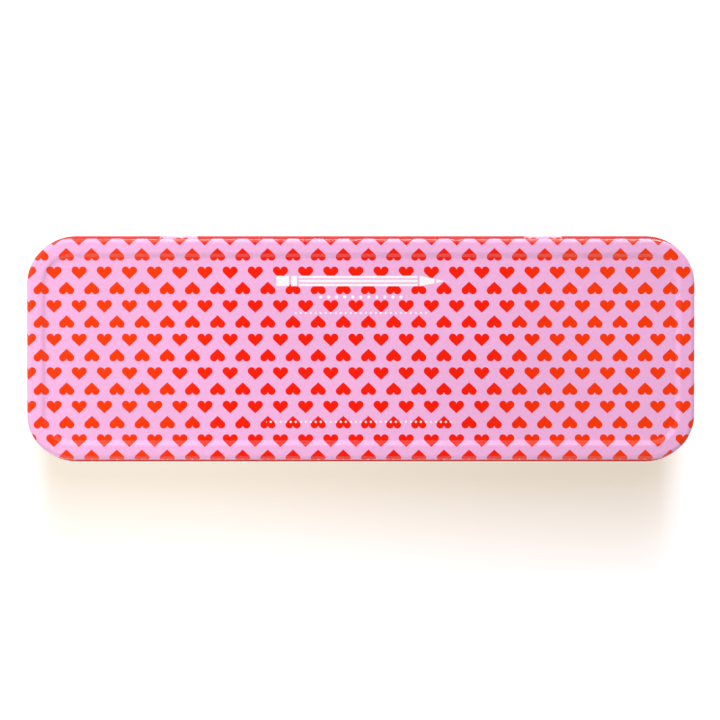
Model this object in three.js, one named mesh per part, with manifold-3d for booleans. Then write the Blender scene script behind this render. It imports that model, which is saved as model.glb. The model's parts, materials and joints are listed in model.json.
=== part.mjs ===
// Hinged tinplate pencil tin: a drawn base tray, a slip-over lid, and two hinge wires.
//
// Millimetres, +Z up. The origin is the centre of the underside, the front faces -Y and the hinge is at +Y.
// Both shells are one thin sheet, so each is drawn as the path that the sheet takes across the wall and
// carried round the tin's rounded-rectangle outline.

import * as THREE from 'three';
import { ParametricGeometry } from 'three/addons/geometries/ParametricGeometry.js';
import { mergeVertices } from 'three/addons/utils/BufferGeometryUtils.js';
import Module from 'manifold-3d';

// Outline of the base tray's outer wall. "Out" below is a distance outward from it.
const LENGTH = 200;
const WIDTH = 66.2;
const CORNER_RADIUS = 13.5;

const HEIGHT = 20;
const SHEET = 0.25;
const EDGE_RADIUS = 1.5;

// Stamped panels: both are ringed by a soft step, this far in from the shell's own outline.
const PANEL_STEP_IN = 5;
const PANEL_STEP_LENGTH = 2.2;
const BASE_PANEL_RECESS = 0.9;
const LID_PANEL_RISE = 0.8;

// The neck that the lid slips over.
const SHOULDER_HEIGHT = 11.6;
const SHOULDER_RISE = 1.1;
const NECK_INSET = 0.8;
const NECK_TOP = 16.4;
const NECK_CURL_RADIUS = 0.5;
const NECK_CURL_TURN = 270;

// The lid's lower edge is rolled inward round the hinge axis.
const LID_OVERHANG = 1.15;
const HEM_BORE_RADIUS = 0.53;
const HEM_TURN = 285;
const HINGE_HEIGHT = 13;
const HINGE_OUT = LID_OVERHANG - HEM_BORE_RADIUS - SHEET;

// Two hinges on the rear edge.
const HINGE_SPACING = 110.6;
const KNUCKLE_WIDTH = 10.9;
const KNUCKLE_BORE_RADIUS = 0.58;
const KNUCKLE_TURN = 265;
const KNUCKLE_RISE = 1.9;
const KNUCKLE_ROOT = 1.5;
const NOTCH_WIDTH = 11.5;
const NOTCH_TOP = 14.5;
const SLOT_BOTTOM = 10.8;
const WIRE_RADIUS = 0.475;
const WIRE_LENGTH = 24;

// Fineness of the facets.
const CORNER_STEPS = 8;
const DEGREES_PER_FACET = 30;
const WIRE_FACETS = 12;

// How far joined solids overlap, how far a cut reaches past the wall, and how near points are one point.
const PANEL_OVERLAP = 0.5;
const CUT_REACH = 4;
const SAME_POINT = 1e-3;

const wasm = await Module();
wasm.setup();

// The middle line of a formed sheet, made of straight runs and bends. x is out and y is up.
class SheetPath {
  constructor(out, up, headingDegrees) {
    this.at = new THREE.Vector2(out, up);
    this.heading = THREE.MathUtils.degToRad(headingDegrees);
    this.points = [this.at.clone()];
    this.headings = [this.heading];
  }

  mark() {
    this.points.push(this.at.clone());
    this.headings.push(this.heading);
    return this;
  }

  run(length) {
    this.at.x += length * Math.cos(this.heading);
    this.at.y += length * Math.sin(this.heading);
    return this.mark();
  }

  // Turns left where degrees is positive, and right where it is negative.
  bend(radius, degrees) {
    const facets = Math.ceil(Math.abs(degrees) / DEGREES_PER_FACET);
    const side = Math.sign(degrees);
    const turn = THREE.MathUtils.degToRad(degrees) / facets;
    for (let i = 0; i < facets; i++) {
      const next = this.heading + turn;
      this.at.x += side * radius * (Math.sin(next) - Math.sin(this.heading));
      this.at.y -= side * radius * (Math.cos(next) - Math.cos(this.heading));
      this.heading = next;
      this.mark();
    }
    return this;
  }

  // Shifts the sheet sideways by two opposite bends over the given length. A positive shift is to the left.
  joggle(shift, length) {
    const turn = 2 * Math.atan2(Math.abs(shift), length);
    const radius = length / (2 * Math.sin(turn));
    const degrees = Math.sign(shift) * THREE.MathUtils.radToDeg(turn);
    return this.bend(radius, degrees).bend(radius, -degrees);
  }

  runToOut(out) {
    return this.run(Math.abs(out - this.at.x));
  }

  runToHeight(up) {
    return this.run(Math.abs(up - this.at.y));
  }

  // The closed outline of the sheet, anticlockwise: along its right face and back along its left face.
  outline() {
    const face = (offset) =>
      this.points.map((p, i) => {
        const heading = this.headings[i];
        return new THREE.Vector2(p.x - offset * Math.sin(heading), p.y + offset * Math.cos(heading));
      });
    return [...face(-SHEET / 2), ...face(SHEET / 2).reverse()];
  }
}

// Points round the tin's outline, moved outward: each has a place on the outer wall and an outward direction.
function outlineStations() {
  const stations = [];
  for (let corner = 0; corner < 4; corner++) {
    const start = (corner * Math.PI) / 2;
    const sideX = Math.sign(Math.cos(start + Math.PI / 4));
    const sideY = Math.sign(Math.sin(start + Math.PI / 4));
    const centreX = sideX * (LENGTH / 2 - CORNER_RADIUS);
    const centreY = sideY * (WIDTH / 2 - CORNER_RADIUS);
    for (let i = 0; i <= CORNER_STEPS; i++) {
      const angle = start + (i / CORNER_STEPS) * (Math.PI / 2);
      stations.push({ centreX, centreY, cos: Math.cos(angle), sin: Math.sin(angle) });
    }
  }
  return stations;
}

// Carries a closed section round the tin's outline.
function carriedRound(section) {
  const stations = outlineStations();
  const place = (u, v, target) => {
    const station = stations[Math.round(u * stations.length) % stations.length];
    const point = section[Math.round(v * section.length) % section.length];
    const reach = CORNER_RADIUS + point.x;
    target.set(station.centreX + reach * station.cos, station.centreY + reach * station.sin, point.y);
  };
  return new ParametricGeometry(place, stations.length, section.length);
}

// A flat plate with the tin's outline moved outward by out, from height bottom up by one sheet.
function panelPlate(out, bottom) {
  const halfX = LENGTH / 2 + out;
  const halfY = WIDTH / 2 + out;
  const radius = CORNER_RADIUS + out;
  const shape = new THREE.Shape();
  shape.absarc(halfX - radius, halfY - radius, radius, 0, Math.PI / 2);
  shape.absarc(radius - halfX, halfY - radius, radius, Math.PI / 2, Math.PI);
  shape.absarc(radius - halfX, radius - halfY, radius, Math.PI, 1.5 * Math.PI);
  shape.absarc(halfX - radius, radius - halfY, radius, 1.5 * Math.PI, 2 * Math.PI);
  const plate = new THREE.ExtrudeGeometry(shape, {
    depth: SHEET,
    bevelEnabled: false,
    curveSegments: CORNER_STEPS,
  });
  return plate.translate(0, 0, bottom);
}

// Extrudes a section of the rear wall along X, centred on x.
function rearStrip(section, x, width) {
  const strip = new THREE.ExtrudeGeometry(new THREE.Shape(section), {
    depth: width,
    bevelEnabled: false,
  });
  const outIsY = new THREE.Matrix4().makeBasis(
    new THREE.Vector3(0, 1, 0),
    new THREE.Vector3(0, 0, 1),
    new THREE.Vector3(1, 0, 0),
  );
  return strip.applyMatrix4(outIsY).translate(x - width / 2, WIDTH / 2, 0);
}

// A box across the rear wall, centred on x, from height bottom to height top.
function rearCut(x, width, bottom, top) {
  const cut = new THREE.BoxGeometry(width, 2 * CUT_REACH, top - bottom);
  return cut.translate(x, WIDTH / 2, (bottom + top) / 2);
}

function toSolid(geometry) {
  const positions = new THREE.BufferGeometry();
  positions.setAttribute('position', geometry.getAttribute('position'));
  positions.setIndex(geometry.index);
  const merged = mergeVertices(positions, SAME_POINT);
  return new wasm.Manifold(
    new wasm.Mesh({
      numProp: 3,
      vertProperties: merged.getAttribute('position').array,
      triVerts: new Uint32Array(merged.index.array),
    }),
  );
}

function toGeometry(solid) {
  const { vertProperties, triVerts } = solid.getMesh();
  const geometry = new THREE.BufferGeometry();
  geometry.setAttribute('position', new THREE.BufferAttribute(vertProperties, 3));
  geometry.setIndex(new THREE.BufferAttribute(triVerts, 1));
  geometry.computeVertexNormals();
  return geometry;
}

// A shell's formed rim with a flat panel filling its middle.
function shell(path, panelBottom) {
  const panelOut = path.points[0].x + PANEL_OVERLAP;
  return toSolid(carriedRound(path.outline())).add(toSolid(panelPlate(panelOut, panelBottom)));
}

function basePath() {
  const panelEdge = -PANEL_STEP_IN - PANEL_STEP_LENGTH;
  return new SheetPath(panelEdge, BASE_PANEL_RECESS + SHEET / 2, 0)
    .runToOut(-PANEL_STEP_IN - PANEL_STEP_LENGTH / 2)
    .joggle(-BASE_PANEL_RECESS, PANEL_STEP_LENGTH)
    .runToOut(-EDGE_RADIUS)
    .bend(EDGE_RADIUS - SHEET / 2, 90)
    .runToHeight(SHOULDER_HEIGHT)
    .joggle(NECK_INSET, SHOULDER_RISE)
    .runToHeight(NECK_TOP - NECK_CURL_RADIUS - SHEET / 2)
    .bend(NECK_CURL_RADIUS, NECK_CURL_TURN);
}

// The knuckle's sheet leaves the tray's wall below the shoulder, bulges out past the wire and curls in over it,
// so the printed face stays outside.
function knucklePath() {
  const curlRadius = KNUCKLE_BORE_RADIUS + SHEET / 2;
  const bulge = HINGE_OUT + curlRadius + SHEET / 2;
  return new SheetPath(-SHEET / 2, SLOT_BOTTOM - KNUCKLE_ROOT, 90)
    .runToHeight(HINGE_HEIGHT - KNUCKLE_RISE)
    .joggle(-bulge, KNUCKLE_RISE)
    .bend(curlRadius, KNUCKLE_TURN);
}

function lidPath() {
  const stepMiddle = LID_OVERHANG - PANEL_STEP_IN;
  return new SheetPath(stepMiddle - PANEL_STEP_LENGTH, HEIGHT - SHEET / 2, 0)
    .runToOut(stepMiddle - PANEL_STEP_LENGTH / 2)
    .joggle(-LID_PANEL_RISE, PANEL_STEP_LENGTH)
    .runToOut(LID_OVERHANG - EDGE_RADIUS)
    .bend(EDGE_RADIUS - SHEET / 2, -90)
    .runToHeight(HINGE_HEIGHT)
    .bend(HEM_BORE_RADIUS + SHEET / 2, -HEM_TURN);
}

const hingePlaces = [-HINGE_SPACING / 2, HINGE_SPACING / 2];

function baseTray() {
  let tray = shell(basePath(), BASE_PANEL_RECESS);
  for (const x of hingePlaces) {
    tray = tray
      .subtract(toSolid(rearCut(x, NOTCH_WIDTH, SLOT_BOTTOM, NECK_TOP + CUT_REACH)))
      .add(toSolid(rearStrip(knucklePath().outline(), x, KNUCKLE_WIDTH)));
  }
  return toGeometry(tray);
}

function lid() {
  let cover = shell(lidPath(), HEIGHT - SHEET);
  for (const x of hingePlaces) {
    cover = cover.subtract(toSolid(rearCut(x, NOTCH_WIDTH, SLOT_BOTTOM, NOTCH_TOP)));
  }
  return toGeometry(cover);
}

function hingeWire() {
  const wire = new THREE.CylinderGeometry(WIRE_RADIUS, WIRE_RADIUS, WIRE_LENGTH, WIRE_FACETS);
  return wire.rotateZ(Math.PI / 2);
}

function addPiece(group, name, geometry, material) {
  const mesh = new THREE.Mesh(geometry, new THREE.MeshStandardMaterial(material));
  mesh.name = name;
  group.add(mesh);
  return mesh;
}

const pencilTin = new THREE.Group();

addPiece(pencilTin, 'base_tray', baseTray(), { color: 0xf3b4e2, roughness: 0.35, metalness: 0.1 });
addPiece(pencilTin, 'lid', lid(), { color: 0xd8342c, roughness: 0.35, metalness: 0.1 });

const steel = { color: 0xb9bcc0, roughness: 0.3, metalness: 1 };
['hinge_wire_left', 'hinge_wire_right'].forEach((name, i) => {
  const wire = addPiece(pencilTin, name, hingeWire(), steel);
  wire.position.set(hingePlaces[i], WIDTH / 2 + HINGE_OUT, HINGE_HEIGHT);
});

export default pencilTin;
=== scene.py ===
"""Looks of the hinged pencil tin: two formed and printed tinplate shells on two steel hinge wires.

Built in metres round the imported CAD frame. Lengths of the tin are written in millimetres times MM, and places
on its flat print in plain millimetres. "Out" is a distance outward from the base tray's outer wall, as in the
CAD source.
"""

import json
import math

import bmesh
import bpy
import numpy as np
from mathutils import Matrix, Vector


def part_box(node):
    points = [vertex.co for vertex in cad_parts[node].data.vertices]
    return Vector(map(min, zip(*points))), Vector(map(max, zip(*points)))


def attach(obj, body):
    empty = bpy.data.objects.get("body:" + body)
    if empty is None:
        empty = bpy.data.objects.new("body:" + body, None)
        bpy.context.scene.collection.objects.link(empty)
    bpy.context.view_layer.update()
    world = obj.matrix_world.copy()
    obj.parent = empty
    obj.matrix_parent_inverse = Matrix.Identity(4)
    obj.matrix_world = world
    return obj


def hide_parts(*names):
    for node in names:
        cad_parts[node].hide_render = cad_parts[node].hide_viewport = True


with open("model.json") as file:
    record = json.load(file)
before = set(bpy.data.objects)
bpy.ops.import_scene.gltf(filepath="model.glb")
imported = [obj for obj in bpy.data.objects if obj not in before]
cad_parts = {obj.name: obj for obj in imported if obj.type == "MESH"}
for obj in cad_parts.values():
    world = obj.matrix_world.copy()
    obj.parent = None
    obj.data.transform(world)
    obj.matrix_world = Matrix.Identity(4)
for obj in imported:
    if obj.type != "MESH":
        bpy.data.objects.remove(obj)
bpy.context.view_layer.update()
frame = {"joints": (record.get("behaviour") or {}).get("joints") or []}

MM = 0.001

# The tin's outline and its main heights, taken from the CAD nodes.
BASE_LOW, BASE_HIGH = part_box("base_tray")
LID_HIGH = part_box("lid")[1]
WIRE_LOW, WIRE_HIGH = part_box("hinge_wire_right")
LENGTH = BASE_HIGH.x - BASE_LOW.x
WIDTH = -2 * BASE_LOW.y
NECK_TOP = BASE_HIGH.z
LID_TOP = LID_HIGH.z
LID_OVERHANG = LID_HIGH.x - BASE_HIGH.x
HINGE_X = (WIRE_LOW.x + WIRE_HIGH.x) / 2
WIRE_LENGTH = WIRE_HIGH.x - WIRE_LOW.x
HINGE = Vector(frame["joints"][0]["pos_m"])
HINGE_OUT = HINGE.y - WIDTH / 2

# The rest of the design, as in the CAD source.
CORNER_RADIUS = 13.5 * MM
SHEET = 0.25 * MM
EDGE_RADIUS = 1.5 * MM
PANEL_STEP_IN = 5 * MM
PANEL_STEP_LENGTH = 2.2 * MM
BASE_PANEL_RECESS = 0.9 * MM
LID_PANEL_RISE = 0.8 * MM
SHOULDER_HEIGHT = 11.6 * MM
SHOULDER_RISE = 1.1 * MM
NECK_INSET = 0.8 * MM
NECK_CURL_RADIUS = 0.5 * MM
HEM_BORE_RADIUS = 0.53 * MM
KNUCKLE_BORE_RADIUS = 0.58 * MM
KNUCKLE_WIDTH = 10.9 * MM
NOTCH_WIDTH = 11.5 * MM
NOTCH_TOP = 14.5 * MM
SLOT_BOTTOM = 10.8 * MM
KNUCKLE_RISE = 1.9 * MM
WIRE_RADIUS = 0.475 * MM

# How far each curl turns, in degrees.
NECK_CURL_TURN = 270
KNUCKLE_TURN = 265
HEM_TURN = 285

# What only the looks have: how far the flat panels spring out of flat, and the wires' cropped ends.
PANEL_BUCKLE = 0.03 * MM
WIRE_CHAMFER = 0.12 * MM

# Points of a mesh nearer than this are joined, and a station this near a knuckle's edge is on the knuckle.
SAME_POINT = 0.0005 * MM
SAME_STATION = 0.01 * MM

# The print, drawn flat in millimetres and wrapped over the shells.
HEART_PITCH = 7.534
ROW_PITCH = 5.025
HEART_ORIGIN = (1.47, 2.99)
HEART_DROP = 0.24
PENCIL_HEIGHT = 20.4
LID_LINE_HALF_SIZE = (86.2, 19.3)
LID_LINE_RADIUS = 5.0

# The dotted rules on the underside: height, half length, pitch and radius of the dots.
DOTTED_RULES = [
    (15.6, 13.5, 2.4, 0.5),
    (10.8, 19.8, 1.5, 0.32),
    (-21.8, 28.3, 1.5, 0.32),
]

# Inks, lacquers and bare metal.
PINK = (0.88, 0.45, 0.74)
RED = (0.96, 0.047, 0.001)
MIDDLE_RED = (0.93, 0.012, 0.001)
WHITE = (0.93, 0.92, 0.93)
LID_RED = (0.72, 0.022, 0.012)
LID_PINK = (0.86, 0.40, 0.62)
TINPLATE = (0.60, 0.595, 0.57)
BRIGHT_TINPLATE = (0.64, 0.63, 0.60)
STEEL = (0.42, 0.42, 0.43)
BRIGHT_STEEL = (0.62, 0.62, 0.62)


# ---------------------------------------------------------------- formed sheet

class SheetPath:
    """The middle line of a formed sheet across the wall, as runs and bends.

    Out goes to the right and up goes upward. The right and left faces are as seen along the path.
    """

    def __init__(self, out, up):
        """Starts level, heading outward."""
        self.out = out
        self.up = up
        self.heading = 0
        self.points = []
        self.mark()

    def mark(self):
        self.points.append((self.out, self.up, self.heading))
        return self

    def run(self, length):
        self.out += length * math.cos(self.heading)
        self.up += length * math.sin(self.heading)
        return self.mark()

    def bend(self, radius, degrees, facets):
        """Turns left where degrees is positive, and right where it is negative."""
        side = math.copysign(1, degrees)
        turn = math.radians(degrees) / facets
        for _ in range(facets):
            new = self.heading + turn
            self.out += side * radius * (math.sin(new) - math.sin(self.heading))
            self.up -= side * radius * (math.cos(new) - math.cos(self.heading))
            self.heading = new
            self.mark()
        return self

    def joggle(self, shift, length, facets):
        """Shifts the sheet sideways by two opposite bends. A positive shift is to the left."""
        turn = 2 * math.atan2(abs(shift), length)
        radius = length / (2 * math.sin(turn))
        degrees = math.copysign(math.degrees(turn), shift)
        return self.bend(radius, degrees, facets).bend(radius, -degrees, facets)

    def run_to_out(self, out):
        return self.run(abs(out - self.out))

    def run_to_height(self, up):
        return self.run(abs(up - self.up))

    def face(self, offset):
        """The face at an offset to the left of the middle line, as arrays of out and up."""
        out, up, heading = np.array(self.points).T
        return out - offset * np.sin(heading), up + offset * np.cos(heading)

    def printed_out(self, offset, flat_until):
        """How far out on the flat print each point of a face lies.

        That is its own distance out as far as flat_until, where the edge begins, and from there the way along
        the sheet.
        """
        out, up = self.face(offset)
        along = np.concatenate([[0], np.cumsum(np.hypot(np.diff(out), np.diff(up)))])
        edge = np.argmax(out > flat_until - SAME_POINT)
        return np.where(np.arange(len(out)) <= edge, out, flat_until + along - along[edge])


STEP_FACETS = 8
EDGE_FACETS = 14
CURL_FACETS = 30


def base_paths():
    """The tray's path round most of the outline and at the knuckles, and the points up to the slots' bottom.

    Both paths have the same number of points.
    """

    def to_slot():
        panel_edge = -PANEL_STEP_IN - PANEL_STEP_LENGTH
        return (
            SheetPath(panel_edge, BASE_PANEL_RECESS + SHEET / 2)
            .run_to_out(-PANEL_STEP_IN - PANEL_STEP_LENGTH / 2)
            .joggle(-BASE_PANEL_RECESS, PANEL_STEP_LENGTH, STEP_FACETS)
            .run_to_out(-EDGE_RADIUS)
            .bend(EDGE_RADIUS - SHEET / 2, 90, EDGE_FACETS)
            .run_to_height(SLOT_BOTTOM)
        )

    rows_to_slot = len(to_slot().points)
    neck = (
        to_slot()
        .run_to_height(SHOULDER_HEIGHT)
        .joggle(NECK_INSET, SHOULDER_RISE, STEP_FACETS)
        .run_to_height(NECK_TOP - NECK_CURL_RADIUS - SHEET / 2)
        .bend(NECK_CURL_RADIUS, NECK_CURL_TURN, CURL_FACETS)
    )
    curl_radius = KNUCKLE_BORE_RADIUS + SHEET / 2
    bulge = HINGE_OUT + curl_radius + SHEET / 2
    knuckle = (
        to_slot()
        .run_to_height(HINGE.z - KNUCKLE_RISE)
        .joggle(-bulge, KNUCKLE_RISE, STEP_FACETS)
        .bend(curl_radius, KNUCKLE_TURN, CURL_FACETS + 1)
    )
    return neck, knuckle, rows_to_slot


def lid_path():
    """The lid's path, and the number of points down to the top of the hinge notches."""
    step_middle = LID_OVERHANG - PANEL_STEP_IN
    path = (
        SheetPath(step_middle - PANEL_STEP_LENGTH, LID_TOP - SHEET / 2)
        .run_to_out(step_middle - PANEL_STEP_LENGTH / 2)
        .joggle(-LID_PANEL_RISE, PANEL_STEP_LENGTH, STEP_FACETS)
        .run_to_out(LID_OVERHANG - EDGE_RADIUS)
        .bend(EDGE_RADIUS - SHEET / 2, -90, EDGE_FACETS)
        .run_to_height(NOTCH_TOP)
    )
    rows_to_notch = len(path.points)
    path.run_to_height(HINGE.z).bend(HEM_BORE_RADIUS + SHEET / 2, -HEM_TURN, CURL_FACETS)
    return path, rows_to_notch


# ---------------------------------------------------------------- the tin's outline

CORNER_STEPS = 14
SIDE_STEP = 6 * MM
PANEL_ROWS = 6
MICRON_DECIMALS = 6


def long_side_places():
    """Places along a long side: evenly spaced, but fitted to the notch and the knuckle at each hinge."""
    half = LENGTH / 2 - CORNER_RADIUS
    steps = round(2 * half / SIDE_STEP)
    places = set(np.linspace(-half, half, steps + 1).round(MICRON_DECIMALS))
    for side in (-1, 1):
        middle = side * HINGE_X
        places = {p for p in places if abs(p - middle) > NOTCH_WIDTH / 2 + SIDE_STEP / 4}
        for width in (NOTCH_WIDTH, KNUCKLE_WIDTH, KNUCKLE_WIDTH / 3):
            edges = (middle - width / 2, middle + width / 2)
            places |= {round(edge, MICRON_DECIMALS) for edge in edges}
    return np.array(sorted(places))


def outline_stations():
    """Anchor x and y, and outward direction, of each station round the outline.

    Stations go anticlockwise from the right-hand end. The wall stands CORNER_RADIUS out from the anchor.
    Anchors stay still round a corner and move along a side.
    """
    half_x = LENGTH / 2 - CORNER_RADIUS
    half_y = WIDTH / 2 - CORNER_RADIUS
    long_side = long_side_places()
    short_side = np.linspace(-half_y, half_y, round(2 * half_y / SIDE_STEP) + 1)
    sides = [
        [(half_x, y) for y in short_side],
        [(x, half_y) for x in long_side[::-1]],
        [(-half_x, y) for y in short_side[::-1]],
        [(x, -half_y) for x in long_side],
    ]
    stations = []
    for quarter, side in enumerate(sides):
        facing = quarter * math.pi / 2
        stations += [(x, y, facing) for x, y in side]
        corner_x, corner_y = side[-1]
        for i in range(1, CORNER_STEPS):
            stations.append((corner_x, corner_y, facing + i / CORNER_STEPS * math.pi / 2))
    return np.array(stations).T


def placed(stations, out, up):
    """Points at each row's out and up for each station: an array of rows by stations by 3."""
    anchor_x, anchor_y, facing = stations
    reach = CORNER_RADIUS + out
    x = anchor_x + reach * np.cos(facing)
    y = anchor_y + reach * np.sin(facing)
    return np.stack([x, y, np.broadcast_to(up, x.shape)], axis=-1)


def print_places(stations, printed_out):
    """Where each point lies on the flat print, in millimetres.

    Round a corner a drawn sheet is pulled in, so less of the print goes into the same height of wall: its
    area stays the same.
    """
    anchor_x, anchor_y, facing = stations
    wall = np.maximum(printed_out, 0)
    drawn = np.sqrt(CORNER_RADIUS**2 + 2 * CORNER_RADIUS * wall) - CORNER_RADIUS
    in_corner = np.abs(np.sin(2 * facing))
    spread = np.minimum(printed_out, 0) + wall + (drawn - wall) * in_corner
    reach = CORNER_RADIUS + spread
    x = anchor_x + reach * np.cos(facing)
    y = anchor_y + reach * np.sin(facing)
    return np.stack([x, y], axis=-1) / MM


def filled_in(first_row, rows):
    """Rows that carry a ring inward to the tin's middle line, from the middle line out."""
    spine_half = (LENGTH - WIDTH) / 2
    spine = first_row.copy()
    spine[:, 0] = np.clip(spine[:, 0], -spine_half, spine_half)
    spine[:, 1] = 0
    shares = np.linspace(0, 1, rows, endpoint=False)[:, None, None]
    return spine + (first_row - spine) * shares


def buckled(points, panel_height):
    """Lets the flat panel spring in and out very slightly, as thin sheet does.

    The panel stays flat beside its step, and the buckling grows from there over a short way inward.
    """
    x, y, z = np.moveaxis(points, -1, 0)
    dimples = np.sin(x / (17 * MM) + 1.3) * np.cos(y / (13 * MM) - 0.6)
    slanting_wave = np.sin(x / (29 * MM) - y / (19 * MM))
    still_edge = 8 * MM
    share_across = np.clip((WIDTH / 2 - still_edge - np.abs(y)) / (9 * MM), 0, 1)
    share_along = np.clip((LENGTH / 2 - still_edge - np.abs(x)) / (12 * MM), 0, 1)
    on_panel = np.abs(z - panel_height) < SHEET
    spring = PANEL_BUCKLE * (dimples + 0.7 * slanting_wave)
    points[..., 2] += spring * (share_across * share_along) * on_panel
    return points


def sheet_object(name, right_face, left_face, prints, present, finishes):
    """A closed mesh of a formed sheet.

    right_face and left_face are rows by stations of points, and prints their places on the flat print.
    present says which cells hold sheet, and finishes gives the material slot of each right cell, of each left
    cell and of the cut edges.
    """
    rows, stations = right_face.shape[:2]
    count = rows * stations

    def index(row, station, left):
        return int(left) * count + row * stations + station % stations

    faces = []
    materials = []
    right_finish, left_finish, edge_finish = finishes
    for r, s in zip(*np.nonzero(present)):
        corners = [(r, s), (r, s + 1), (r + 1, s + 1), (r + 1, s)]
        faces.append([index(*c, False) for c in corners])
        materials.append(right_finish[r, s])
        faces.append([index(*c, True) for c in reversed(corners)])
        materials.append(left_finish[r, s])
        neighbours = [(r - 1, s), (r, s + 1), (r + 1, s), (r, s - 1)]
        for side, (nr, ns) in enumerate(neighbours):
            closed_on_middle_line = nr < 0
            joined = nr < rows - 1 and present[nr, ns % stations]
            if closed_on_middle_line or joined:
                continue
            a, b = corners[side], corners[(side + 1) % 4]
            faces.append([index(*a, False), index(*a, True), index(*b, True), index(*b, False)])
            materials.append(edge_finish)

    mesh = bpy.data.meshes.new(name)
    points = np.concatenate([right_face.reshape(-1, 3), left_face.reshape(-1, 3)])
    mesh.from_pydata(points.tolist(), [], faces)
    mesh.polygons.foreach_set("material_index", materials)
    flat = np.concatenate([prints.reshape(-1, 2)] * 2)
    loop_vertices = np.zeros(len(mesh.loops), np.int32)
    mesh.loops.foreach_get("vertex_index", loop_vertices)
    layer = mesh.uv_layers.new(name="print_mm")
    layer.data.foreach_set("uv", flat[loop_vertices].astype(np.float32).ravel())
    return finished_object(name, mesh)


SHARP_EDGE = math.radians(50)
FLAT_FACE_WEIGHT = 60


def finished_object(name, mesh):
    """Cleans a mesh, shades it smooth with crisp cut edges, and makes its object."""
    bm = bmesh.new()
    bm.from_mesh(mesh)
    bmesh.ops.remove_doubles(bm, verts=bm.verts, dist=SAME_POINT)
    loose = [v for v in bm.verts if not v.link_faces]
    bmesh.ops.delete(bm, geom=loose, context="VERTS")
    bmesh.ops.recalc_face_normals(bm, faces=bm.faces)
    for face in bm.faces:
        face.smooth = True
    for edge in bm.edges:
        edge.smooth = len(edge.link_faces) == 2 and edge.calc_face_angle(0) < SHARP_EDGE
    bm.to_mesh(mesh)
    bm.free()
    piece = bpy.data.objects.new(name, mesh)
    bpy.context.scene.collection.objects.link(piece)
    normals = piece.modifiers.new("flat_faces_first", "WEIGHTED_NORMAL")
    normals.keep_sharp = True
    normals.weight = FLAT_FACE_WEIGHT
    return piece


# ---------------------------------------------------------------- the pieces

# The material slots of both shells.
PRINTED = 0
BARE = 1


def near_hinge(x, facing_rear, width):
    """Which places lie on the rear wall, within half a width of the middle of either hinge."""
    from_hinge = np.abs(np.abs(x) - HINGE_X)
    return facing_rear & (from_hinge < width / 2)


def cells_near_hinge(stations, width):
    """The same for the cells, each of which reaches from its own station to the next."""
    anchor_x, _, facing = stations
    at_rear = np.isclose(facing, math.pi / 2)
    middle = (anchor_x + np.roll(anchor_x, -1)) / 2
    return near_hinge(middle, at_rear & np.roll(at_rear, -1), width)


def cell_grid(face):
    """How many rows and stations of cells a face has, and each row's number counted from the path's first."""
    rows, stations = face.shape[:2]
    cells = (rows - 1, stations)
    return cells, np.arange(cells[0])[:, None] - PANEL_ROWS


def base_tray():
    """The tray's shell: print outside up to the shoulder and over the knuckles, bare tinplate elsewhere."""
    stations = outline_stations()
    anchor_x, _, facing = stations
    neck, knuckle, rows_to_slot = base_paths()
    at_rear = np.isclose(facing, math.pi / 2)
    on_knuckle = near_hinge(anchor_x, at_rear, KNUCKLE_WIDTH + 2 * SAME_STATION)

    def points(offset):
        neck_out, neck_up = (v[:, None] for v in neck.face(offset))
        knuckle_out, knuckle_up = (v[:, None] for v in knuckle.face(offset))
        out = np.where(on_knuckle, knuckle_out, neck_out)
        up = np.where(on_knuckle, knuckle_up, neck_up)
        ring = placed(stations, out, up)
        whole = np.concatenate([filled_in(ring[0], PANEL_ROWS), ring])
        return buckled(whole, BASE_PANEL_RECESS)

    def prints():
        neck_print = neck.printed_out(-SHEET / 2, -EDGE_RADIUS)[:, None]
        knuckle_print = knuckle.printed_out(-SHEET / 2, -EDGE_RADIUS)[:, None]
        ring = print_places(stations, np.where(on_knuckle, knuckle_print, neck_print))
        return np.concatenate([filled_in_print(ring[0], PANEL_ROWS), ring])

    right = points(-SHEET / 2)
    left = points(SHEET / 2)
    cells, row = cell_grid(right)
    in_knuckle = cells_near_hinge(stations, KNUCKLE_WIDTH)
    beside_knuckle = cells_near_hinge(stations, NOTCH_WIDTH) & ~in_knuckle
    present = ~((row >= rows_to_slot - 1) & beside_knuckle)
    bare_neck = (row >= rows_to_slot) & ~in_knuckle
    finishes = (np.where(bare_neck, BARE, PRINTED), np.full(cells, BARE), BARE)
    return sheet_object("base_shell", right, left, prints(), present, finishes)


def filled_in_print(first_row, rows):
    """The print's places on the rows that filled_in adds."""
    flat = np.concatenate([first_row * MM, np.zeros_like(first_row[:, :1])], axis=-1)
    return filled_in(flat, rows)[..., :2] / MM


def lid():
    """The lid's shell: print on the whole of its outside, bare tinplate inside."""
    stations = outline_stations()
    path, rows_to_notch = lid_path()

    def points(offset):
        out, up = (v[:, None] for v in path.face(offset))
        ring = placed(stations, out, up)
        whole = np.concatenate([filled_in(ring[0], PANEL_ROWS), ring])
        return buckled(whole, LID_TOP)

    right = points(-SHEET / 2)
    left = points(SHEET / 2)
    printed_out = path.printed_out(SHEET / 2, LID_OVERHANG - EDGE_RADIUS)[:, None]
    ring_print = print_places(stations, printed_out)
    prints = np.concatenate([filled_in_print(ring_print[0], PANEL_ROWS), ring_print])
    cells, row = cell_grid(right)
    present = ~((row >= rows_to_notch - 1) & cells_near_hinge(stations, NOTCH_WIDTH))
    finishes = (np.full(cells, BARE), np.full(cells, PRINTED), BARE)
    return sheet_object("lid_shell", right, left, prints, present, finishes)


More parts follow.
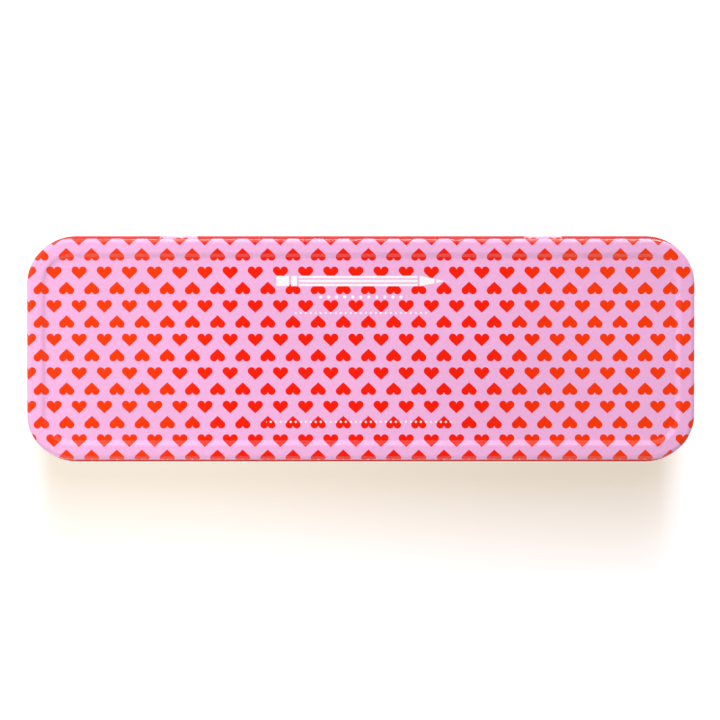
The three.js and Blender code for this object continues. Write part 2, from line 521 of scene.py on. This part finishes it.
def hinge_wire(name, x):
    """A cut length of drawn wire with its ends broken by the cropping tool."""
    half = WIRE_LENGTH / 2
    rings_between = 13
    around = 32
    profile = [(-half, WIRE_RADIUS - WIRE_CHAMFER), (-half + WIRE_CHAMFER, WIRE_RADIUS)]
    profile += [(t * half, WIRE_RADIUS) for t in np.linspace(-0.9, 0.9, rings_between)]
    profile += [(half - WIRE_CHAMFER, WIRE_RADIUS), (half, WIRE_RADIUS - WIRE_CHAMFER)]
    points = []
    for along, radius in profile:
        for i in range(around):
            angle = 2 * math.pi * i / around
            y = HINGE.y + radius * math.cos(angle)
            z = HINGE.z + radius * math.sin(angle)
            points.append((x + along, y, z))
    faces = []
    for ring in range(len(profile) - 1):
        for i in range(around):
            a, b = ring * around + i, ring * around + (i + 1) % around
            faces.append((a, b, b + around, a + around))
    last = (len(profile) - 1) * around
    faces.append(tuple(range(around)))
    faces.append(tuple(range(last, last + around)))
    mesh = bpy.data.meshes.new(name)
    mesh.from_pydata(points, [], faces)
    return finished_object(name, mesh)


# ---------------------------------------------------------------- materials

class Value:
    """A number at each point of a material. Arithmetic on it adds Math nodes."""

    def __init__(self, tree, socket):
        self.tree = tree
        self.socket = socket

    def math(self, operation, *others):
        node = self.tree.nodes.new("ShaderNodeMath")
        node.operation = operation
        for socket, value in zip(node.inputs, (self, *others)):
            if isinstance(value, Value):
                self.tree.links.new(value.socket, socket)
            else:
                socket.default_value = value
        return Value(self.tree, node.outputs[0])

    def __add__(self, other):
        return self.math("ADD", other)

    def __sub__(self, other):
        return self.math("SUBTRACT", other)

    def __mul__(self, other):
        return self.math("MULTIPLY", other)

    def __truediv__(self, other):
        return self.math("DIVIDE", other)

    def __neg__(self):
        return self * -1.0

    def __rsub__(self, other):
        return -self + other

    def __abs__(self):
        return self.math("ABSOLUTE")

    def least(self, other):
        return self.math("MINIMUM", other)

    def most(self, other):
        return self.math("MAXIMUM", other)

    def rounded(self):
        return self.math("ROUND")

    def wrapped(self, half):
        return self.math("WRAP", half, -half)

    def length_with(self, other):
        return (self * self + other * other).math("SQRT")

    def ramp(self, low, high, to_low=0.0, to_high=1.0):
        """to_low at low and below, to_high at high and above, smooth between."""
        node = self.tree.nodes.new("ShaderNodeMapRange")
        node.interpolation_type = "SMOOTHSTEP"
        self.tree.links.new(self.socket, node.inputs["Value"])
        ends = {"From Min": low, "From Max": high, "To Min": to_low, "To Max": to_high}
        for key, value in ends.items():
            node.inputs[key].default_value = value
        return Value(self.tree, node.outputs["Result"])


def colour_mix(tree, share, a, b):
    """Colour a where the share is 0 and b where it is 1. Colours are three numbers or a socket."""
    node = tree.nodes.new("ShaderNodeMix")
    node.data_type = "RGBA"
    share_socket, a_socket, b_socket = node.inputs[0], node.inputs[6], node.inputs[7]
    tree.links.new(share.socket, share_socket)
    for socket, colour in ((a_socket, a), (b_socket, b)):
        if isinstance(colour, bpy.types.NodeSocket):
            tree.links.new(colour, socket)
        else:
            socket.default_value = (*colour, 1)
    return node.outputs[2]


class Material:
    """A node material with one Principled shader, and short ways to make its inputs."""

    def __init__(self, name):
        self.data = bpy.data.materials.new(name)
        self.data.use_nodes = True
        self.tree = self.data.node_tree
        self.shader = self.tree.nodes["Principled BSDF"]

    def set(self, **settings):
        """Sets the shader's inputs by name, each to a number, a Value or a colour's socket."""
        for key, value in settings.items():
            socket = self.shader.inputs[key.replace("_", " ").title().replace("Ior", "IOR")]
            if isinstance(value, (Value, bpy.types.NodeSocket)):
                self.tree.links.new(getattr(value, "socket", value), socket)
            else:
                socket.default_value = value

    def place(self):
        """The point's place on the flat print, in millimetres: a vector and its two numbers."""
        node = self.tree.nodes.new("ShaderNodeUVMap")
        node.uv_map = "print_mm"
        parts = self.tree.nodes.new("ShaderNodeSeparateXYZ")
        self.tree.links.new(node.outputs["UV"], parts.inputs[0])
        return node.outputs["UV"], Value(self.tree, parts.outputs["X"]), Value(self.tree, parts.outputs["Y"])

    def noise(self, place, scale, detail=3.0, stretch=(1, 1, 1)):
        """Cloudy noise from 0 to 1, scale features to each unit of place."""
        mapping = self.tree.nodes.new("ShaderNodeMapping")
        mapping.inputs["Scale"].default_value = stretch
        self.tree.links.new(place, mapping.inputs["Vector"])
        node = self.tree.nodes.new("ShaderNodeTexNoise")
        node.inputs["Scale"].default_value = scale
        node.inputs["Detail"].default_value = detail
        self.tree.links.new(mapping.outputs[0], node.inputs["Vector"])
        return Value(self.tree, node.outputs["Fac"])

    def mix(self, share, a, b):
        return colour_mix(self.tree, share, a, b)

    def scaled(self, colour, by):
        """A colour made lighter or darker by a Value."""
        node = self.tree.nodes.new("ShaderNodeVectorMath")
        node.operation = "SCALE"
        self.tree.links.new(colour, node.inputs[0])
        self.tree.links.new(by.socket, node.inputs["Scale"])
        return node.outputs[0]

    def bump(self, height, depth, normal=None):
        """A bump whose height of 1 stands for depth, in metres."""
        node = self.tree.nodes.new("ShaderNodeBump")
        node.inputs["Distance"].default_value = depth
        self.tree.links.new(height.socket, node.inputs["Height"])
        if normal is not None:
            self.tree.links.new(normal, node.inputs["Normal"])
        return node.outputs[0]


def hearts(x, y):
    """Signed distance in millimetres to the nearest heart of the print, negative inside.

    Rows of upright and upside-down hearts take turns, half a pitch apart.
    """
    from_origin = y - HEART_ORIGIN[1]
    row = (from_origin / ROW_PITCH).rounded()
    turned = abs(row.math("MODULO", 2.0))
    across = abs((x - HEART_ORIGIN[0] + turned * (HEART_PITCH / 2)).wrapped(HEART_PITCH / 2))
    up = (from_origin - row * ROW_PITCH) * (turned * -2.0 + 1.0)
    return heart(across, up + HEART_DROP)


def heart(across, up):
    """One heart's right half: a round lobe, and below it a straight side to the tip.

    The half is mirrored because across, counted from the heart's middle, is never negative.
    """
    lobe_radius = 1.16
    lobe_across = 1.12
    top = 1.9
    tip = -1.92
    notch = 1.12
    side_angle = math.radians(47)
    lobe_up = top - lobe_radius
    lobe = (across - lobe_across).length_with(up - lobe_up) - lobe_radius

    def beyond(point, direction):
        """How far a place lies beyond the line through a point, square to a direction."""
        size = math.hypot(*direction)
        dx, dy = direction[0] / size, direction[1] / size
        return across * dx + up * dy - (point[0] * dx + point[1] * dy)

    side = beyond((0, tip), (math.cos(side_angle), -math.sin(side_angle)))
    under_lobe = beyond((lobe_across, lobe_up), (math.sin(side_angle), math.cos(side_angle)))
    under_notch = beyond((0, notch), (notch - lobe_up, lobe_across))
    return lobe.least(side.most(under_lobe).most(under_notch))


def dot_line(x, y, height, half_length, pitch, radius):
    """Signed distance in millimetres to the nearest dot of a dotted line across the print."""
    along = x.wrapped(pitch / 2)
    dots = along.length_with(y - height) - radius
    return dots.most(abs(x) - half_length)


def bar(x, y, middle, half_length, half_height):
    """Signed distance to an upright rectangle."""
    return (abs(x - middle[0]) - half_length).most(abs(y - middle[1]) - half_height)


def pencil_mark(x, y, height):
    """Signed distance to a little pencil lying along the tin: rubber, ferrule, barrel and sharpened tip."""
    half_thick = 1.55
    tip_x = -25.2
    cone_end_x = -17.6
    cone_slope = 0.21
    from_middle = abs(y - height)
    rubber = bar(x, y, (23.4, height), 1.9, half_thick)
    ferrule = bar(x, y, (20.0, height), 0.9, half_thick)
    barrel = bar(x, y, (0.8, height), 17.8, half_thick)
    edge_lines = 0.22 - abs(from_middle - 0.62)
    cone = (from_middle - (x - tip_x) * cone_slope).most(tip_x - x).most(x - cone_end_x)
    lead_gap = 0.25 - abs(x + 22.3)
    return rubber.least(ferrule).least(barrel.most(edge_lines)).least(cone.most(lead_gap))


def inside_of(distance):
    """1 inside an inked shape and 0 outside, with the soft edge of offset print."""
    soft_edge = 0.05
    return distance.ramp(-soft_edge, soft_edge, 1, 0)


def base_print(material, place, x, y):
    """Red hearts on pink, and small white marks on the underside. The red is deeper toward the middle and more
    orange toward the ends.
    """
    marks = pencil_mark(x, y, PENCIL_HEIGHT)
    for height, half_length, pitch, radius in DOTTED_RULES:
        marks = marks.least(dot_line(x, y, height, half_length, pitch, radius))
    behind_pencil = bar(x, y, (0, PENCIL_HEIGHT), half_length=20, half_height=1.5)
    inked = inside_of(hearts(x, y).most(-behind_pencil))
    # The hearts' red is deeper toward the middle of the length and more orange toward the ends, with a slow
    # random drift.
    redder_middle = abs(x).ramp(20, 75, to_low=0.7, to_high=0.0)
    red_tone = material.noise(place, 0.03, 2) * 0.5 + redder_middle
    red = material.mix(red_tone.ramp(0.1, 0.9), RED, MIDDLE_RED)
    colour = material.mix(inked, PINK, red)
    return material.mix(inside_of(marks), colour, WHITE), inked


def lid_print(material, place, x, y):
    """Pink hearts on red, held inside a pink line round the raised panel."""
    margin = 1.2
    line_half_width = 0.35
    out_x = (abs(x) - LID_LINE_HALF_SIZE[0]).most(0.0)
    out_y = (abs(y) - LID_LINE_HALF_SIZE[1]).most(0.0)
    outside = out_x.length_with(out_y) - LID_LINE_RADIUS
    line = abs(outside) - line_half_width
    inked = inside_of(hearts(x, y).most(outside + margin).least(line))
    return material.mix(inked, LID_RED, LID_PINK), inked


def printed_lacquer(name, print_of):
    """Offset print on white-coated tinplate under a gloss varnish.

    The ink is slightly uneven, the varnish a little rippled and smeared, and the hearts stand an ink's depth
    proud.
    """
    material = Material(name)
    place, x, y = material.place()
    colour, inked = print_of(material, place, x, y)
    mottle = material.noise(place, 0.9, 4).ramp(0.3, 0.7, 0.97, 1.02)
    drift = material.noise(place, 0.03, 2).ramp(0.3, 0.7, 0.98, 1.02)
    colour = material.scaled(colour, mottle * drift)
    smear = material.noise(place, 0.08, 5).ramp(0.35, 0.7, 0.24, 0.34)
    ripple = material.bump(material.noise(place, 0.7, 2), 0.02 * MM)
    ink_edge = material.bump(inked, 0.004 * MM, ripple)
    material.set(base_color=colour, roughness=smear, normal=ink_edge)
    material.set(specular_ior_level=0.1, coat_weight=0.45, coat_roughness=0.07)
    return material.data


def bare_tinplate(name):
    """The inside of the tin: clear-varnished tinplate with the mill's fine grain along its length."""
    material = Material(name)
    place, _, _ = material.place()
    grain = material.noise(place, 6.0, 4, stretch=(0.02, 1, 1))
    cloud = material.noise(place, 0.05, 4)
    colour = material.mix(cloud.ramp(0.3, 0.7), TINPLATE, BRIGHT_TINPLATE)
    colour = material.scaled(colour, grain.ramp(0.3, 0.7, 0.93, 1.04))
    roughness = grain.ramp(0.3, 0.7, 0.26, 0.38)
    normal = material.bump(grain, 0.01 * MM)
    material.set(base_color=colour, roughness=roughness, normal=normal, metallic=1.0)
    return material.data


def wire_steel(name):
    """Bright drawn steel with fine scratches along the wire."""
    material = Material(name)
    coordinates = material.tree.nodes.new("ShaderNodeTexCoord")
    scratches = material.noise(coordinates.outputs["Object"], 4000, 3, stretch=(0.05, 1, 1))
    colour = material.mix(scratches.ramp(0.3, 0.7), STEEL, BRIGHT_STEEL)
    material.set(base_color=colour, metallic=1.0, roughness=scratches.ramp(0.3, 0.7, 0.25, 0.42))
    return material.data


# ---------------------------------------------------------------- stage, light and camera

CAMERA_SPOT = Vector((0.24 * MM, 6 * MM, -800 * MM))
CAMERA_AIM = Vector((0.24 * MM, -3.25 * MM, 0))
CAMERA_LENS = 133.7

# The paper seen behind the tin from below. Left is the main camera's left, the positive x side. Its glow is
# painted room light, brighter on the left than on the right, so the painted shade inside the tin's shadow is
# darker on the right.
BACKDROP_HEIGHT = 0.17
BACKDROP_HALF = 0.2
BACKDROP_GREY = (0.5, 0.5, 0.5)
BACKDROP_PAINTED_LIGHT_LEFT = (0.63, 0.565, 0.445)
BACKDROP_PAINTED_LIGHT_RIGHT = (0.47, 0.41, 0.305)

# The floor that the tin stands on, a hair below it.
FLOOR_HALF = 0.7
FLOOR_BELOW_TIN = 0.02 * MM
FLOOR_GREY = (0.5, 0.495, 0.49)
FLOOR_GLOW = (0.49, 0.49, 0.49)

NEUTRAL = (1, 1, 1)
WARM_WHITE = (1.0, 0.99, 0.97)
COOL_WHITE = (0.98, 0.98, 1.0)
SKY_BLUE = (0.85, 0.9, 1.15)


def camera():
    """Looks straight up at the underside, with the hinge side at the top of the picture."""
    data = bpy.data.cameras.new("camera")
    data.lens = CAMERA_LENS
    data.clip_start = 0.01
    data.clip_end = 20
    seen_from = bpy.data.objects.new("camera", data)
    bpy.context.scene.collection.objects.link(seen_from)
    back = (CAMERA_SPOT - CAMERA_AIM).normalized()
    right = Vector((0, 1, 0)).cross(back).normalized()
    up = back.cross(right)
    seen_from.matrix_world = matrix_of(right, up, back, CAMERA_SPOT)
    bpy.context.scene.camera = seen_from


def matrix_of(x, y, z, at):
    """Where an object stands whose own axes point along x, y and z."""
    return Matrix.Translation(at) @ Matrix((x, y, z)).transposed().to_4x4()


def stage_plane(name, height, half, facing_down):
    """A level square of paper that only the camera sees: it throws no light or shadow on the tin."""
    corners = [(-half, -half, height), (half, -half, height), (half, half, height), (-half, half, height)]
    if facing_down:
        corners.reverse()
    mesh = bpy.data.meshes.new(name)
    mesh.from_pydata(corners, [], [(0, 1, 2, 3)])
    plane = bpy.data.objects.new(name, mesh)
    bpy.context.scene.collection.objects.link(plane)
    for ray in ("diffuse", "glossy", "transmission", "volume_scatter", "shadow"):
        setattr(plane, "visible_" + ray, False)
    return plane


def one_way_paper(name, grey, painted_light_left, painted_light_right):
    """Paper that is seen from its front only. Its own glow is painted light that stands for the room's light on
    it, going from the right-hand colour to the left-hand one across the middle.
    """
    data = bpy.data.materials.new(name)
    data.use_nodes = True
    tree = data.node_tree
    nodes, links = tree.nodes, tree.links
    nodes.clear()
    place = nodes.new("ShaderNodeTexCoord")
    across = nodes.new("ShaderNodeSeparateXYZ")
    links.new(place.outputs["Object"], across.inputs[0])
    # Painted light: the glow is the left colour on the positive x side and the right colour on the other,
    # blended across the middle. Where the two differ, as on the backdrop, it paints the shade inside the tin's
    # shadow lighter on one side.
    share = Value(tree, across.outputs["X"]).ramp(-0.1, 0.1)
    emission = nodes.new("ShaderNodeEmission")
    links.new(colour_mix(tree, share, painted_light_right, painted_light_left), emission.inputs["Color"])
    diffuse = nodes.new("ShaderNodeBsdfDiffuse")
    diffuse.inputs["Color"].default_value = (*grey, 1)
    lit = nodes.new("ShaderNodeAddShader")
    links.new(emission.outputs[0], lit.inputs[0])
    links.new(diffuse.outputs[0], lit.inputs[1])
    clear = nodes.new("ShaderNodeBsdfTransparent")
    facing = nodes.new("ShaderNodeNewGeometry")
    choice = nodes.new("ShaderNodeMixShader")
    links.new(facing.outputs["Backfacing"], choice.inputs[0])
    links.new(lit.outputs[0], choice.inputs[1])
    links.new(clear.outputs[0], choice.inputs[2])
    output = nodes.new("ShaderNodeOutputMaterial")
    links.new(choice.outputs[0], output.inputs["Surface"])
    return data


def stage():
    """The floor that the tin stands on, and the paper above it that the main camera sees behind the tin."""
    floor = stage_plane("floor", -FLOOR_BELOW_TIN, FLOOR_HALF, False)
    floor_paper = one_way_paper("floor_paper", FLOOR_GREY, FLOOR_GLOW, FLOOR_GLOW)
    floor.data.materials.append(floor_paper)
    backdrop = stage_plane("backdrop", BACKDROP_HEIGHT, BACKDROP_HALF, True)
    paper = one_way_paper("backdrop_paper", BACKDROP_GREY, BACKDROP_PAINTED_LIGHT_LEFT, BACKDROP_PAINTED_LIGHT_RIGHT)
    backdrop.data.materials.append(paper)
    return floor, backdrop


def area_light(name, at, size, watts, colour, aim=(0, 0, 0)):
    """A rectangular lamp, with size in metres."""
    data = bpy.data.lights.new(name, "AREA")
    data.shape = "RECTANGLE"
    data.size, data.size_y = size
    data.energy = watts
    data.color = colour
    lamp = bpy.data.objects.new(name, data)
    bpy.context.scene.collection.objects.link(lamp)
    back = (Vector(at) - Vector(aim)).normalized()
    right = Vector((0, 1, 0)).cross(back).normalized()
    lamp.matrix_world = matrix_of(right, back.cross(right), back, Vector(at))
    return lamp


def lights_only(lamp, *objects):
    """Keeps a lamp's light to these objects."""
    group = bpy.data.collections.new(lamp.name + "_lights")
    for obj in objects:
        group.objects.link(obj)
    lamp.light_linking.receiver_collection = group


def daylight():
    """A pale room, dimmer straight above and below and brighter behind the tin. The camera sees white."""
    world = bpy.data.worlds.new("room")
    bpy.context.scene.world = world
    world.use_nodes = True
    tree = world.node_tree
    nodes, links = tree.nodes, tree.links
    nodes.clear()
    room = nodes.new("ShaderNodeBackground")
    room.inputs["Color"].default_value = (1.0, 0.985, 0.97, 1)
    direction = nodes.new("ShaderNodeTexCoord")
    parts = nodes.new("ShaderNodeSeparateXYZ")
    links.new(direction.outputs["Generated"], parts.inputs[0])
    steepness = abs(Value(tree, parts.outputs["Z"]))
    walls = steepness.math("POWER", 4.0) * -0.70 + 0.78
    toward_window = Value(tree, parts.outputs["X"]) * 0.12 + Value(tree, parts.outputs["Y"]) * 0.3 + 1.0
    links.new((walls * toward_window).socket, room.inputs["Strength"])
    seen = nodes.new("ShaderNodeBackground")
    seen.inputs["Color"].default_value = (1, 1, 1, 1)
    seen.inputs["Strength"].default_value = 1.0
    path = nodes.new("ShaderNodeLightPath")
    choice = nodes.new("ShaderNodeMixShader")
    links.new(path.outputs["Is Camera Ray"], choice.inputs[0])
    links.new(room.outputs[0], choice.inputs[1])
    links.new(seen.outputs[0], choice.inputs[2])
    output = nodes.new("ShaderNodeOutputWorld")
    links.new(choice.outputs[0], output.inputs["Surface"])


def shadow_light(backdrop):
    """The lamp that throws the tin's shadow on the backdrop."""
    at = (-0.013, 0.195, -1.03)
    shadow_window = area_light("shadow_window", at, (0.077, 0.28), 14.8, SKY_BLUE, aim=(0, 0.01, 0.1))
    lights_only(shadow_window, backdrop)


def underside_lights(pieces):
    """The window behind and below the tin, and a soft fill for the end on the main camera's left."""
    window = area_light("window", (0.10, 0.65, -0.545), (0.8, 0.5), 3.7, COOL_WHITE)
    lights_only(window, *pieces)
    fill = area_light("left_fill", (0.22, -0.03, -0.33), (0.2, 0.2), 0.48, WARM_WHITE)
    fill.visible_glossy = False
    lights_only(fill, *pieces)


def sheen_lights(tray):
    """Two lamps that are only mirrored in the tray's lacquer, one behind the tin and one in front."""
    gleam = area_light("gleam", (-0.12, 0.60, 0.06), (0.5, 0.15), 6, NEUTRAL, aim=(-0.12, 0, 0))
    veil = area_light("front_veil", (0, -0.54, -0.25), (0.8, 0.5), 2.5, NEUTRAL)
    for lamp in (gleam, veil):
        lamp.visible_diffuse = False
        lights_only(lamp, tray)


def upper_lights(pieces):
    """A wide window above, and a smaller one in front."""
    area_light("upper_window", (-0.35, -0.3, 0.9), (1.8, 1.8), 6, WARM_WHITE)
    front_window = area_light("front_window", (0.25, -0.7, 0.6), (0.9, 0.6), 3.0, WARM_WHITE)
    lights_only(front_window, *pieces)


def floor_light(floor):
    """A far window that lights the floor evenly and throws the tin's shadow on it."""
    floor_window = area_light("floor_window", (-2.0, 2.3, 4.0), (1.8, 1.8), 160, WARM_WHITE)
    lights_only(floor_window, floor)


# ---------------------------------------------------------------- putting it together

def fitted(piece, body, nodes, materials):
    """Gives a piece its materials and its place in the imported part."""
    for material in materials:
        piece.data.materials.append(material)
    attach(piece, body)
    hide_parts(*nodes)
    return piece


camera()
floor, backdrop = stage()
daylight()

tinplate = bare_tinplate("bare_tinplate")
steel = wire_steel("wire_steel")
pink_print = printed_lacquer("pink_heart_print", base_print)
red_print = printed_lacquer("red_lid_print", lid_print)

pieces = [
    fitted(base_tray(), "base", ["base_tray"], [pink_print, tinplate]),
    fitted(lid(), "lid", ["lid"], [red_print, tinplate]),
]
for side, name in ((-1, "hinge_wire_left"), (1, "hinge_wire_right")):
    wire = hinge_wire(name.replace("hinge_", ""), side * HINGE_X)
    pieces.append(fitted(wire, "lid", [name], [steel]))

shadow_light(backdrop)
underside_lights(pieces)
sheen_lights(pieces[0])
upper_lights(pieces)
floor_light(floor)
bpy.context.scene.view_settings.view_transform = "Standard"
